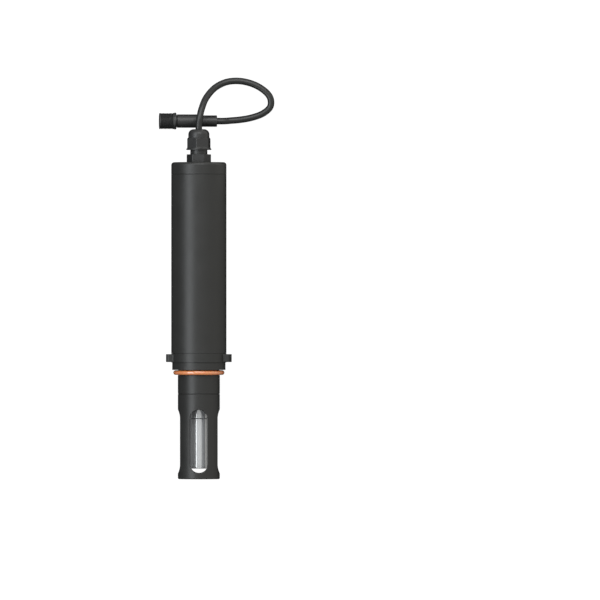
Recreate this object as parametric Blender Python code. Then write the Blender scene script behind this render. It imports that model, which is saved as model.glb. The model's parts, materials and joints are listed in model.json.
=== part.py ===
# Dissolved oxygen sensor: a tube probe with a bayonet ring, a slotted guard over a screw-on sensing cap,
# and a short cable that ends in a small round plug. It lies on its side, tip towards -Y.
# Local frame: the probe upright, guard tip at z = 0, the side that faces up when it lies towards -Y.

import math

import bmesh
import bpy
from mathutils import Matrix, Vector

# Running gap between pieces that touch, and the faces round each turned piece
clearance = 0.0003
large_sides = 48
small_sides = 32
fine_sides = 24
hidden_sides = 24

# Housing: the straight tube between the bayonet ring and the end cap
body_radius = 0.0200
housing_wall = 0.0030
housing_length = 0.1298

# Guard: a straight sleeve with four round-ended slots and an open end
guard_radius = 0.0152
guard_wall = 0.0027
guard_length = 0.0614
slot_count = 4
slot_width = 0.0128
slot_length = 0.0459
slot_from_tip = 0.0043
guard_thread_length = 0.0084
guard_chamfer = 0.0006

# Probe holder: neck, collar and the spigot that carries the ring and the housing
neck_length = 0.0174
collar_radius = 0.0193
collar_length = 0.0052
collar_chamfer = 0.0004
spigot_length = 0.0148
spigot_groove_height = 0.0058
seal_groove_depth = 0.0017
stem_seat_depth = 0.0060
stem_seat_radius = 0.0103

# Face seal: the orange o-ring under the collar
face_seal_thickness = 0.0033
face_seal_groove = 0.0003

# Bayonet ring and its two lugs
ring_length = 0.0063
lug_radius = 0.0238
lug_width = 0.0170
lug_height = 0.0057
lug_rise = 0.0002
lug_turn = math.radians(-3.0)

# Sensing cap: a closed-end sleeve with a window in its tip, screwed on the probe stem
cap_radius = 0.0070
cap_from_tip = 0.0076
cap_length = 0.0365
cap_bore = 0.0059
cap_end_wall = 0.0018
cap_chamfer = 0.0003
cap_mouth_radius = 0.0064
cap_mouth_depth = 0.0031
window_aperture = 0.0040
window_thickness = 0.0012

# Probe stem and the optics in it
stem_bore = 0.0042
stem_flange_radius = 0.0100
stem_flange_height = 0.0030
stem_groove_radius = 0.0053
stem_groove_height = 0.0650
cap_seal_groove_radius = 0.0050
light_guide_length = 0.0188
sensor_board_thickness = 0.0010
emitter_size = 0.0012
emitter_height = 0.0007
emitter_offset = 0.0015
probe_lead_radius = 0.0012
stem_nut_bore = 0.0055
stem_nut_height = 0.0024

# Circuit board, its two holders and what is soldered on it
board_width = 0.0260
board_thickness = 0.0016
holder_thickness = 0.0050
holder_pocket = 0.0030
terminal_width = 0.0140
terminal_depth = 0.0080
terminal_height = 0.0100
terminal_below_holder = 0.0070
terminal_hole_depth = 0.0040
core_pitch = 0.0030
core_hole_radius = 0.0032
core_hole_offset = 0.0060
chip_size = 0.0070
chip_thickness = 0.0010
chip_height = 0.0320

# End cap
end_cap_height = 0.0083
end_cap_corner = 0.0017
end_cap_spigot = 0.0153
end_cap_groove_from_end = 0.0050
end_cap_cavity_radius = 0.0120
end_cap_cavity_depth = 0.0125

# Cable gland
gland_hex_corners = 0.0179
gland_hex_height = 0.0054
gland_hex_turn = math.radians(27.0)
gland_thread_radius = 0.0059
gland_thread_length = 0.0091
gland_neck_radius = 0.0060
gland_neck_gap = 0.0032
gland_collet_length = 0.0075
gland_seat_radius = 0.0042
gland_seat_depth = 0.0065
gland_ring_thickness = 0.0014
gland_ring_seat = 0.0018
nut_corners = 0.0177
nut_skirt_radius = 0.0091
nut_skirt_rim = 0.0009
nut_skirt_height = 0.0018
nut_hex_height = 0.0070
nut_hex_turn = math.radians(-10.0)
nut_chamfer = 0.0005
dome_radius = 0.0075
dome_height = 0.0062
dome_corner = 0.0037
dome_ledge = 0.0025

# Cable: its route on the ground is chosen by hand, x and y in the finished frame
cable_radius = 0.00225
cable_clearance = 0.00035
tail_length = 0.0370
core_radius = 0.0005
core_spread = 0.0010
cable_floor_gap = 0.0001
cable_points = 44
cable_route = [
    (0.0000, 0.1300), (0.0006, 0.1352), (0.0020, 0.1420), (0.0049, 0.1497), (0.0108, 0.1572),
    (0.0190, 0.1613), (0.0280, 0.1622), (0.0372, 0.1605), (0.0452, 0.1561), (0.0504, 0.1501),
    (0.0510, 0.1437), (0.0463, 0.1386), (0.0384, 0.1350), (0.0300, 0.1332), (0.0226, 0.1328),
]

# Plug: lengths along its own axis, with its cable end towards +Z before it is laid down
plug_from_dome = 0.0061
plug_front_radius = 0.0047
plug_rear_radius = 0.00415
plug_shoulder = 0.0010
plug_rear_length = 0.0130
plug_front_length = 0.0150
plug_nose_radius = 0.0043
plug_nose_length = 0.0037
plug_pocket_radius = 0.0033
plug_pocket_depth = 0.0057
clip_groove_depth = 0.0004
clip_groove_width = 0.0010
clip_groove_from_front = 0.0022
clip_thickness = 0.0004
clip_width = 0.00055
clip_opening = 0.0016
insert_length = 0.0040
insert_key = 0.0009
pin_radius = 0.0005
pin_hole_radius = 0.0008
pin_circle = 0.0025
pin_length = 0.0146
pin_count = 4
thread_radius = 0.0057
thread_front = 0.0289
thread_chamfer = 0.0003
rim_radius = 0.0061
rim_front = 0.0170
rim_rear = 0.0165
thread_end = 0.0175
nut_rear_radius = 0.0050
nut_bore_radius = 0.00505

# Heights up the probe, each worked out from the piece below it
neck_bottom = guard_length + clearance
collar_bottom = neck_bottom + neck_length
collar_top = collar_bottom + collar_length
ring_bottom = collar_top + clearance
ring_top = ring_bottom + ring_length
housing_bottom = ring_top + clearance
housing_top = housing_bottom + housing_length
end_cap_bottom = housing_top + clearance
end_cap_top = end_cap_bottom + end_cap_height
gland_hex_bottom = end_cap_top + clearance
gland_hex_top = gland_hex_bottom + gland_hex_height
nut_bottom = gland_hex_top + gland_neck_gap
nut_hex_bottom = nut_bottom + nut_skirt_height
nut_hex_top = nut_hex_bottom + nut_hex_height
dome_top = nut_hex_top + dome_height
cable_start = dome_top - dome_ledge
tail_top = cable_start - clearance

# Radii that follow from the fits
guard_bore = guard_radius - guard_wall
housing_bore = body_radius - housing_wall
spigot_radius = housing_bore - clearance
spigot_groove_radius = spigot_radius - seal_groove_depth
spigot_seal_thickness = housing_bore - spigot_groove_radius - 2 * clearance
stem_radius = cap_radius
holder_bore = stem_radius + clearance
stem_thread_radius = cap_bore - clearance
gland_bore = cable_radius + cable_clearance
end_cap_hole = gland_thread_radius + clearance
probe_hollow = stem_bore - clearance

# Heights inside
spigot_top = collar_top + spigot_length + ring_length
stem_seat = spigot_top - stem_seat_depth
stem_flange_bottom = stem_seat + clearance
stem_flange_top = stem_flange_bottom + stem_flange_height
cap_top = cap_from_tip + cap_length
window_bottom = cap_from_tip + cap_end_wall + clearance
window_top = window_bottom + window_thickness
stem_bottom = window_top + clearance
sensor_board_bottom = stem_bottom + light_guide_length + emitter_height + 2 * clearance
sensor_board_top = sensor_board_bottom + sensor_board_thickness
lower_holder_bottom = spigot_top + clearance
lower_holder_top = lower_holder_bottom + holder_thickness
end_cap_spigot_bottom = end_cap_bottom - end_cap_spigot
upper_holder_top = end_cap_spigot_bottom - clearance
upper_holder_bottom = upper_holder_top - holder_thickness
board_bottom = lower_holder_top - holder_pocket + clearance
board_top = upper_holder_bottom + holder_pocket - clearance
terminal_top = upper_holder_bottom - terminal_below_holder
tail_bottom = tail_top - tail_length

for old in list(bpy.data.objects):
    bpy.data.objects.remove(old, do_unlink=True)


# Materials

def finish(name, colour, roughness, metallic=0.0):
    material = bpy.data.materials.new(name)
    material.use_nodes = True
    shader = material.node_tree.nodes["Principled BSDF"]
    shader.inputs["Base Color"].default_value = (*colour, 1.0)
    shader.inputs["Roughness"].default_value = roughness
    shader.inputs["Metallic"].default_value = metallic
    return material


black_plastic = finish("black_plastic", (0.035, 0.035, 0.034), 0.42)
black_nylon = finish("black_nylon", (0.030, 0.030, 0.030), 0.50)
steel = finish("steel", (0.55, 0.55, 0.56), 0.22, 1.0)
orange_rubber = finish("orange_rubber", (0.78, 0.27, 0.11), 0.38)
black_rubber = finish("black_rubber", (0.020, 0.020, 0.020), 0.60)
cable_jacket = finish("cable_jacket", (0.030, 0.030, 0.030), 0.48)
board_laminate = finish("board_laminate", (0.020, 0.130, 0.045), 0.45)
clear_optic = finish("clear_optic", (0.80, 0.86, 0.88), 0.08)
gold_plate = finish("gold_plate", (0.83, 0.60, 0.24), 0.25, 1.0)


# Shapes

def new_object(name, mesh, material, parent):
    obj = bpy.data.objects.new(name, mesh)
    bpy.context.scene.collection.objects.link(obj)
    obj.parent = parent
    mesh.materials.clear()
    mesh.materials.append(material)
    mesh.shade_smooth()
    mesh.set_sharp_from_angle(angle=math.radians(30))
    return obj


def mesh_from(bm, name):
    mesh = bpy.data.meshes.new(name)
    bmesh.ops.recalc_face_normals(bm, faces=bm.faces)
    bm.to_mesh(mesh)
    bm.free()
    return mesh


def turned_mesh(name, outline, sides):
    # The outline is a closed run of (radius, height) points. A face, not an edge, lies towards each axis,
    # so that the piece rests flat on its side.
    bm = bmesh.new()
    start = Matrix.Rotation(math.pi / sides, 3, "Z")
    points = [bm.verts.new(start @ Vector((radius, 0, height))) for radius, height in outline]
    for first, second in zip(points, points[1:] + points[:1]):
        if first.co.xy.length > 0 or second.co.xy.length > 0:
            bm.edges.new((first, second))
    bmesh.ops.spin(bm, geom=bm.verts[:] + bm.edges[:], cent=(0, 0, 0), axis=(0, 0, 1),
                   angle=2 * math.pi, steps=sides, use_merge=True)
    bmesh.ops.remove_doubles(bm, verts=bm.verts, dist=1e-6)
    return mesh_from(bm, name)


def turned(name, outline, material, parent, sides=small_sides):
    return new_object(name, turned_mesh(name, outline, sides), material, parent)


def ring_outline(middle_radius, middle_height, thickness, points=6):
    half = thickness / 2
    turns = [2 * math.pi * index / points for index in range(points)]
    return [(middle_radius + half * math.cos(turn), middle_height + half * math.sin(turn)) for turn in turns]


def arc(centre, radius, start, end, steps=5):
    turns = [math.radians(start + (end - start) * index / steps) for index in range(steps + 1)]
    return [(centre[0] + radius * math.cos(turn), centre[1] + radius * math.sin(turn)) for turn in turns]


def box_mesh(name, low, high):
    bm = bmesh.new()
    bmesh.ops.create_cube(bm, size=1.0)
    size = Vector(high) - Vector(low)
    bmesh.ops.scale(bm, vec=size, verts=bm.verts)
    bmesh.ops.translate(bm, vec=(Vector(high) + Vector(low)) / 2, verts=bm.verts)
    return mesh_from(bm, name)


def box(name, low, high, material, parent):
    return new_object(name, box_mesh(name, low, high), material, parent)


def hexagon_mesh(name, corners, bottom, top, turn, chamfer):
    # Across corners 2 * radius, with the corners of both ends turned down as on a nut
    bm = bmesh.new()
    bmesh.ops.create_cone(bm, cap_ends=True, segments=6, radius1=corners / 2, radius2=corners / 2,
                          depth=top - bottom)
    bmesh.ops.translate(bm, vec=(0, 0, (top + bottom) / 2), verts=bm.verts)
    bmesh.ops.rotate(bm, cent=(0, 0, 0), matrix=Matrix.Rotation(turn, 3, "Z"), verts=bm.verts)
    solid = bpy.data.objects.new(name, mesh_from(bm, name))
    bpy.context.scene.collection.objects.link(solid)
    reach = corners / 2 + chamfer
    drop = chamfer
    cone = [(0, bottom), (corners / 2 - 2 * chamfer, bottom), (reach, bottom + drop * 1.5),
            (reach, top - drop * 1.5), (corners / 2 - 2 * chamfer, top), (0, top)]
    combine(solid, "INTERSECT", turned_mesh("cone", cone, small_sides))
    mesh = solid.data
    bpy.data.objects.remove(solid)
    return mesh


def combine(obj, operation, mesh, matrix=None):
    # One exact Boolean with a mesh that is used up by it
    tool = bpy.data.objects.new("tool", mesh)
    bpy.context.scene.collection.objects.link(tool)
    tool.parent = obj.parent
    if matrix:
        tool.data.transform(matrix)
    modifier = obj.modifiers.new("cut", "BOOLEAN")
    modifier.operation = operation
    modifier.solver = "EXACT"
    modifier.object = tool
    bpy.context.view_layer.update()
    graph = bpy.context.evaluated_depsgraph_get()
    result = bpy.data.meshes.new_from_object(obj.evaluated_get(graph))
    obj.modifiers.remove(modifier)
    before = obj.data
    materials = list(before.materials)
    obj.data = result
    result.materials.clear()
    for material in materials:
        result.materials.append(material)
    result.name = before.name
    result.shade_smooth()
    result.set_sharp_from_angle(angle=math.radians(30))
    bpy.data.objects.remove(tool)
    bpy.data.meshes.remove(before)


def smooth_route(points, count):
    # Even steps along a Catmull-Rom curve through the points
    path = [Vector(p) for p in points]
    ends = [path[0] * 2 - path[1]] + path + [path[-1] * 2 - path[-2]]
    dense = []
    for index in range(1, len(ends) - 2):
        before, start, stop, after = ends[index - 1:index + 3]
        for step in range(20):
            t = step / 20
            dense.append(0.5 * (2 * start + (stop - before) * t
                                + (2 * before - 5 * start + 4 * stop - after) * t ** 2
                                + (3 * start - before - 3 * stop + after) * t ** 3))
    dense.append(path[-1])
    travelled = [0.0]
    for first, second in zip(dense, dense[1:]):
        travelled.append(travelled[-1] + (second - first).length)
    even = []
    place = 0
    for index in range(count):
        target = travelled[-1] * index / (count - 1)
        while place < len(dense) - 2 and travelled[place + 1] < target:
            place += 1
        span = travelled[place + 1] - travelled[place]
        share = min(1.0, (target - travelled[place]) / span)
        even.append(dense[place].lerp(dense[place + 1], share))
    return even


def tube(name, points, radius, material, parent, resolution=2):
    curve = bpy.data.curves.new(name, "CURVE")
    curve.dimensions = "3D"
    curve.bevel_depth = radius
    curve.bevel_resolution = resolution
    curve.use_fill_caps = True
    curve.twist_mode = "MINIMUM"
    spline = curve.splines.new("POLY")
    spline.points.add(len(points) - 1)
    for point, place in zip(spline.points, points):
        point.co = (*place, 1.0)
    obj = bpy.data.objects.new(name, curve)
    bpy.context.scene.collection.objects.link(obj)
    curve.materials.append(material)
    obj.parent = parent
    return obj


def frame_empty(name, matrix):
    empty = bpy.data.objects.new(name, None)
    bpy.context.scene.collection.objects.link(empty)
    empty.matrix_world = matrix
    return empty


# The probe's frame: laid on its side, its flat lowest face on the ground, centred along Y
rest_height = body_radius * math.cos(math.pi / large_sides)
probe_centre = dome_top / 2
probe = frame_empty("probe_frame", Matrix.Translation((0, -probe_centre, rest_height))
                    @ Matrix.Rotation(math.radians(-90), 4, "X"))


# Pieces of the tip

def make_guard():
    outline = [(guard_bore + guard_chamfer, 0), (guard_radius - guard_chamfer, 0),
               (guard_radius, guard_chamfer), (guard_radius, guard_length),
               (guard_bore, guard_length), (guard_bore, guard_chamfer)]
    guard = turned("guard", outline, black_plastic, probe, large_sides)
    # Each pair of opposite slots is one round-ended bar cut right across
    for pair in range(slot_count // 2):
        cut_slot(guard, math.pi * 2 * pair / slot_count)
    return guard


def cut_slot(obj, turn):
    half = slot_width / 2
    bm = bmesh.new()
    steps = 10
    low = slot_from_tip + half
    high = slot_from_tip + slot_length - half
    outline = [(half * math.cos(math.pi + math.pi * index / steps),
                low + half * math.sin(math.pi + math.pi * index / steps)) for index in range(steps + 1)]
    outline += [(half * math.cos(math.pi * index / steps),
                 high + half * math.sin(math.pi * index / steps)) for index in range(steps + 1)]
    reach = guard_radius + guard_wall
    face = bm.faces.new([bm.verts.new((x, -reach, z)) for x, z in outline])
    sweep = bmesh.ops.extrude_face_region(bm, geom=[face])
    moved = [item for item in sweep["geom"] if isinstance(item, bmesh.types.BMVert)]
    bmesh.ops.translate(bm, vec=(0, 2 * reach, 0), verts=moved)
    combine(obj, "DIFFERENCE", mesh_from(bm, "slot"), Matrix.Rotation(turn, 4, "Z"))


def make_sensing_cap():
    outline = [(window_aperture, cap_from_tip), (cap_radius - cap_chamfer, cap_from_tip),
               (cap_radius, cap_from_tip + cap_chamfer), (cap_radius, cap_top),
               (cap_mouth_radius, cap_top), (cap_mouth_radius, cap_top - cap_mouth_depth),
               (cap_bore, cap_top - cap_mouth_depth), (cap_bore, cap_from_tip + cap_end_wall),
               (window_aperture, cap_from_tip + cap_end_wall)]
    turned("sensing_cap", outline, steel, probe, small_sides)
    turned("sensing_window", [(0, window_bottom), (cap_bore - clearance, window_bottom),
                              (cap_bore - clearance, window_top), (0, window_top)],
           clear_optic, probe, small_sides)


def make_probe_stem():
    shoulder = cap_top + clearance
    groove_top = shoulder
    groove_bottom = cap_top - cap_mouth_depth + clearance
    seal_room = cap_mouth_radius - cap_seal_groove_radius
    seal_thickness = seal_room - 2 * clearance
    outline = [(stem_bore, stem_bottom), (stem_thread_radius, stem_bottom),
               (stem_thread_radius, groove_bottom), (cap_seal_groove_radius, groove_bottom),
               (cap_seal_groove_radius, groove_top), (stem_radius, shoulder),
               (stem_radius, stem_groove_height), (stem_groove_radius, stem_groove_height)]
    stem_seal_thickness = holder_bore - stem_groove_radius - 2 * clearance
    groove_end = stem_groove_height + stem_seal_thickness + 2 * clearance
    outline += [(stem_groove_radius, groove_end), (stem_radius, groove_end),
                (stem_radius, stem_flange_bottom), (stem_flange_radius, stem_flange_bottom),
                (stem_flange_radius, stem_flange_top), (stem_bore, stem_flange_top)]
    turned("probe_stem", outline, steel, probe, small_sides)
    turned("stem_seal", ring_outline((holder_bore + stem_groove_radius) / 2,
                                     (stem_groove_height + groove_end) / 2, stem_seal_thickness),
           black_rubber, probe, hidden_sides)
    turned("cap_seal", ring_outline(cap_seal_groove_radius + seal_room / 2,
                                    (groove_bottom + groove_top) / 2, seal_thickness),
           black_rubber, probe, hidden_sides)
    nut_low = stem_flange_top + clearance
    nut_radius = stem_seat_radius - clearance
    turned("stem_nut", [(stem_nut_bore, nut_low), (nut_radius, nut_low),
                        (nut_radius, nut_low + stem_nut_height), (stem_nut_bore, nut_low + stem_nut_height)],
           steel, probe, hidden_sides)


def make_optics():
    guide_top = stem_bottom + light_guide_length
    turned("light_guide", [(0, stem_bottom), (probe_hollow, stem_bottom), (probe_hollow, guide_top),
                           (0, guide_top)], clear_optic, probe, fine_sides)
    turned("sensor_board", [(0, sensor_board_bottom), (probe_hollow, sensor_board_bottom),
                            (probe_hollow, sensor_board_top), (0, sensor_board_top)],
           board_laminate, probe, fine_sides)
    half = emitter_size / 2
    low = guide_top + clearance
    for name, side in (("emitter", -1), ("photodiode", 1)):
        middle = side * emitter_offset
        box(name, (middle - half, -half, low), (middle + half, half, low + emitter_height),
            clear_optic, probe)
    lead_top = board_bottom - clearance
    steps = 16
    low = sensor_board_top + clearance
    points = [(0, 0, low + (lead_top - low) * index / steps) for index in range(steps + 1)]
    tube("probe_lead", points, probe_lead_radius, black_rubber, probe)


def make_probe_holder():
    thread_radius_in_guard = guard_bore - clearance
    thread_bottom = neck_bottom - guard_thread_length
    seal_top = collar_bottom
    seal_low = collar_bottom - face_seal_thickness - 2 * clearance
    groove_low = spigot_top - spigot_groove_height
    groove_high = groove_low + spigot_seal_thickness + 2 * clearance
    outline = [
        (holder_bore, thread_bottom), (thread_radius_in_guard, thread_bottom),
        (thread_radius_in_guard, neck_bottom), (guard_radius, neck_bottom),
        (guard_radius, seal_low), (guard_radius - face_seal_groove, seal_low),
        (guard_radius - face_seal_groove, seal_top), (collar_radius - collar_chamfer, seal_top),
        (collar_radius, seal_top + collar_chamfer), (collar_radius, collar_top),
        (spigot_radius, collar_top), (spigot_radius, groove_low),
        (spigot_groove_radius, groove_low), (spigot_groove_radius, groove_high),
        (spigot_radius, groove_high), (spigot_radius, spigot_top),
        (stem_seat_radius, spigot_top), (stem_seat_radius, stem_seat), (holder_bore, stem_seat),
    ]
    turned("probe_holder", outline, black_plastic, probe, large_sides)
    seal_middle = guard_radius - face_seal_groove + clearance + face_seal_thickness / 2
    seal_height = collar_bottom - clearance - face_seal_thickness / 2
    turned("face_seal", ring_outline(seal_middle, seal_height, face_seal_thickness, 12),
           orange_rubber, probe, large_sides)
    turned("holder_seal", ring_outline((housing_bore + spigot_groove_radius) / 2,
                                       (groove_low + groove_high) / 2, spigot_seal_thickness),
           black_rubber, probe, large_sides)


def make_bayonet_ring():
    low = ring_bottom + lug_rise
    high = low + lug_height
    turn = Matrix.Rotation(lug_turn, 4, "Z")
    lugs = turned_mesh("lugs", [(0, low), (lug_radius, low), (lug_radius, high), (0, high)], large_sides)
    ring = new_object("bayonet_ring", lugs, black_plastic, probe)
    half = lug_width / 2
    reach = lug_radius * 2
    combine(ring, "INTERSECT", box_mesh("bar", (-reach, -half, low - 0.001), (reach, half, high + 0.001)), turn)
    combine(ring, "UNION", turned_mesh("disc", [(0, ring_bottom), (body_radius, ring_bottom),
                                                (body_radius, ring_top), (0, ring_top)], large_sides))
    bore = spigot_radius + clearance
    combine(ring, "DIFFERENCE", turned_mesh("bore", [(0, ring_bottom - bore), (bore, ring_bottom - bore),
                                                     (bore, ring_top + bore), (0, ring_top + bore)],
                                            large_sides))


# Pieces of the housing

def make_housing():
    turned("housing_tube", [(housing_bore, housing_bottom), (body_radius, housing_bottom),
                            (body_radius, housing_top), (housing_bore, housing_top)],
           black_plastic, probe, large_sides)
    groove_low = end_cap_spigot_bottom + end_cap_groove_from_end
    groove_high = groove_low + spigot_seal_thickness + 2 * clearance
    cavity_top = end_cap_spigot_bottom + end_cap_cavity_depth
    ring_seat_radius = gland_thread_radius + gland_ring_thickness + 2 * clearance
    corner = arc((body_radius - end_cap_corner, end_cap_top - end_cap_corner), end_cap_corner, 0, 90)
    outline = [
        (end_cap_cavity_radius, end_cap_spigot_bottom), (spigot_radius, end_cap_spigot_bottom),
        (spigot_radius, groove_low), (spigot_groove_radius, groove_low),
        (spigot_groove_radius, groove_high), (spigot_radius, groove_high),
        (spigot_radius, end_cap_bottom), (body_radius, end_cap_bottom), *corner,
        (ring_seat_radius, end_cap_top), (ring_seat_radius, end_cap_top - gland_ring_seat),
        (end_cap_hole, end_cap_top - gland_ring_seat), (end_cap_hole, cavity_top),
        (end_cap_cavity_radius, cavity_top),
    ]
    turned("end_cap", outline, black_plastic, probe, large_sides)
    turned("end_cap_seal", ring_outline((housing_bore + spigot_groove_radius) / 2,
                                        (groove_low + groove_high) / 2, spigot_seal_thickness),
           black_rubber, probe, large_sides)


def make_electronics():
    half_board = board_width / 2
    half_thick = board_thickness / 2
    box("circuit_board", (-half_board, -half_thick, board_bottom), (half_board, half_thick, board_top),
        board_laminate, probe)
    pocket_x = half_board + clearance
    pocket_y = half_thick + clearance
    lower = turned("lower_board_holder", [(0, lower_holder_bottom), (spigot_radius, lower_holder_bottom),
                                          (spigot_radius, lower_holder_top), (0, lower_holder_top)],
                   black_nylon, probe, large_sides)
    pocket_low = lower_holder_top - holder_pocket
    combine(lower, "DIFFERENCE", box_mesh("pocket", (-pocket_x, -pocket_y, pocket_low),
                                          (pocket_x, pocket_y, lower_holder_top + holder_pocket)))
    lead_hole = probe_lead_radius + clearance
    combine(lower, "DIFFERENCE", turned_mesh("hole", [(0, lower_holder_bottom - holder_pocket),
                                                      (lead_hole, lower_holder_bottom - holder_pocket),
                                                      (lead_hole, lower_holder_top + holder_pocket),
                                                      (0, lower_holder_top + holder_pocket)], fine_sides))
    upper = turned("upper_board_holder", [(0, upper_holder_bottom), (spigot_radius, upper_holder_bottom),
                                          (spigot_radius, upper_holder_top), (0, upper_holder_top)],
                   black_nylon, probe, large_sides)
    pocket_high = upper_holder_bottom + holder_pocket
    combine(upper, "DIFFERENCE", box_mesh("pocket", (-pocket_x, -pocket_y, upper_holder_bottom - holder_pocket),
                                          (pocket_x, pocket_y, pocket_high)))
    hole = turned_mesh("hole", [(0, upper_holder_bottom - holder_pocket),
                                (core_hole_radius, upper_holder_bottom - holder_pocket),
                                (core_hole_radius, upper_holder_top + holder_pocket),
                                (0, upper_holder_top + holder_pocket)], fine_sides)
    combine(upper, "DIFFERENCE", hole, Matrix.Translation((0, core_hole_offset, 0)))

    face = half_thick + clearance
    half_chip = chip_size / 2
    chip_low = board_bottom + chip_height
    box("processor_chip", (-half_chip, -face - chip_thickness, chip_low),
        (half_chip, -face, chip_low + chip_size), black_nylon, probe)
    block = box("terminal_block", (-terminal_width / 2, face, terminal_top - terminal_height),
                (terminal_width / 2, face + terminal_depth, terminal_top), black_nylon, probe)
    hole_radius = core_radius + clearance
    for place in core_places():
        hole = turned_mesh("hole", [(0, terminal_top - terminal_hole_depth),
                                    (hole_radius, terminal_top - terminal_hole_depth),
                                    (hole_radius, terminal_top + terminal_hole_depth),
                                    (0, terminal_top + terminal_hole_depth)], 12)
        combine(block, "DIFFERENCE", hole, Matrix.Translation((place, face + terminal_depth / 2, 0)))


def core_places():
    return [core_pitch * (index - (pin_count - 1) / 2) for index in range(pin_count)]


# Cable gland

def make_gland():
    collet_top = gland_hex_top + gland_neck_gap + gland_collet_length
    seat_bottom = collet_top - gland_seat_depth
    thread_bottom = gland_hex_bottom - gland_thread_length
    body = turned("gland_body", [(0, thread_bottom), (gland_thread_radius, thread_bottom),
                                 (gland_thread_radius, gland_hex_bottom + clearance),
                                 (gland_neck_radius, gland_hex_bottom + clearance),
                                 (gland_neck_radius, collet_top), (0, collet_top)],
                  black_nylon, probe, small_sides)
    combine(body, "UNION", hexagon_mesh("hexagon", gland_hex_corners, gland_hex_bottom, gland_hex_top,
                                        gland_hex_turn, nut_chamfer))
    combine(body, "DIFFERENCE", turned_mesh("bore", [
        (0, thread_bottom - gland_bore), (gland_bore, thread_bottom - gland_bore), (gland_bore, seat_bottom),
        (gland_seat_radius, seat_bottom), (gland_seat_radius, collet_top + gland_bore),
        (0, collet_top + gland_bore)], small_sides))
    ring_middle = gland_thread_radius + clearance + gland_ring_thickness / 2
    ring_height = end_cap_top - gland_ring_seat + clearance + gland_ring_thickness / 2
    turned("gland_ring", ring_outline(ring_middle, ring_height, gland_ring_thickness),
           black_rubber, probe, hidden_sides)

    seal_bottom = seat_bottom + clearance
    seal_radius = gland_seat_radius - clearance
    seal_bore = cable_radius + clearance
    turned("gland_seal", [(seal_bore, seal_bottom), (seal_radius, seal_bottom),
                          (seal_radius, tail_top), (seal_bore, tail_top)],
           black_rubber, probe, small_sides)

    thread_bore = gland_neck_radius + clearance
    cone_bottom = collet_top + clearance
    shoulder = arc((dome_radius - dome_corner, dome_top - dome_corner), dome_corner, 0, 90, 6)
    waist = nut_corners / 2 * math.cos(math.radians(30))
    nut = turned("gland_nut", [(0, nut_bottom), (nut_skirt_radius, nut_bottom),
                               (nut_skirt_radius, nut_bottom + nut_skirt_rim), (waist, nut_hex_bottom),
                               (dome_radius, nut_hex_bottom + clearance), *shoulder, (0, dome_top)],
                 black_nylon, probe, small_sides)
    combine(nut, "UNION", hexagon_mesh("hexagon", nut_corners, nut_hex_bottom, nut_hex_top,
                                       nut_hex_turn, nut_chamfer))
    combine(nut, "DIFFERENCE", turned_mesh("hollow", [
        (0, nut_bottom - gland_bore), (thread_bore, nut_bottom - gland_bore), (thread_bore, cone_bottom),
        (gland_seat_radius, cable_start - clearance), (gland_seat_radius, cable_start),
        (gland_bore, cable_start), (gland_bore, dome_top + gland_bore), (0, dome_top + gland_bore)],
        small_sides))


# Cable and its cores

def make_cable_tail():
    steps = 10
    points = [(0, 0, tail_top - (tail_top - tail_bottom) * index / steps) for index in range(steps + 1)]
    tube("cable_tail", points, cable_radius, cable_jacket, probe)
    face = board_thickness / 2 + clearance
    row = face + terminal_depth / 2
    starts = [(-core_spread, -core_spread), (-core_spread, core_spread),
              (core_spread, core_spread), (core_spread, -core_spread)]
    pitch_in_hole = 2 * core_radius + 0.0004
    for index, (start, place) in enumerate(zip(starts, core_places())):
        in_hole = pitch_in_hole * (index - (pin_count - 1) / 2)
        route = [
            (start[0], start[1], tail_bottom - clearance),
            (start[0], start[1], tail_bottom - clearance - core_spread),
            (in_hole, core_hole_offset, upper_holder_top + clearance),
            (in_hole, core_hole_offset, upper_holder_bottom - clearance),
            (place, row, terminal_top + clearance * 4),
            (place, row, terminal_top - terminal_hole_depth + clearance),
        ]
        tube(f"core_{index + 1}", smooth_route(route, 12), core_radius, black_rubber, probe)


# The plug lies with its rim and its rear edge on the ground
def plug_rest():
    rim = rim_radius * math.cos(math.pi / small_sides)
    rear = plug_rear_radius * math.cos(math.pi / small_sides)
    tilt = math.atan((rim - rear) / (plug_rear_length + rim_rear))
    height = rear * math.cos(tilt) + plug_rear_length * math.sin(tilt)
    return tilt, height


plug_tilt, plug_height = plug_rest()
plug_y = probe_centre + plug_from_dome
plug = frame_empty("plug_frame", Matrix.Translation((0, plug_y, plug_height))
                   @ Matrix.Rotation(math.radians(90) + plug_tilt, 4, "Y"))


def make_cable():
    plug_end = plug_rear_length + clearance
    end = Vector((plug_end * math.cos(plug_tilt), plug_y, plug_height - plug_end * math.sin(plug_tilt)))
    axis = Vector((math.cos(plug_tilt), 0, -math.sin(plug_tilt)))
    low = cable_radius + cable_floor_gap
    start_y = cable_start - probe_centre
    route = [(0, start_y, rest_height)]
    # Level out of the gland, then down to the ground over the first part of the loop
    heights = [1.0, 0.985, 0.86, 0.60, 0.27, 0.07, 0.005]
    for (x, y), share in zip(cable_route, heights + [0.0] * len(cable_route)):
        route.append((x, y, low + (rest_height - low) * share))
    last = end + axis * 0.0045
    route += [(last.x, last.y, last.z), (end.x, end.y, end.z)]
    tube("cable", smooth_route(route, cable_points), cable_radius, cable_jacket, None)


# Plug pieces, each turned about the plug's own axis

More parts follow.
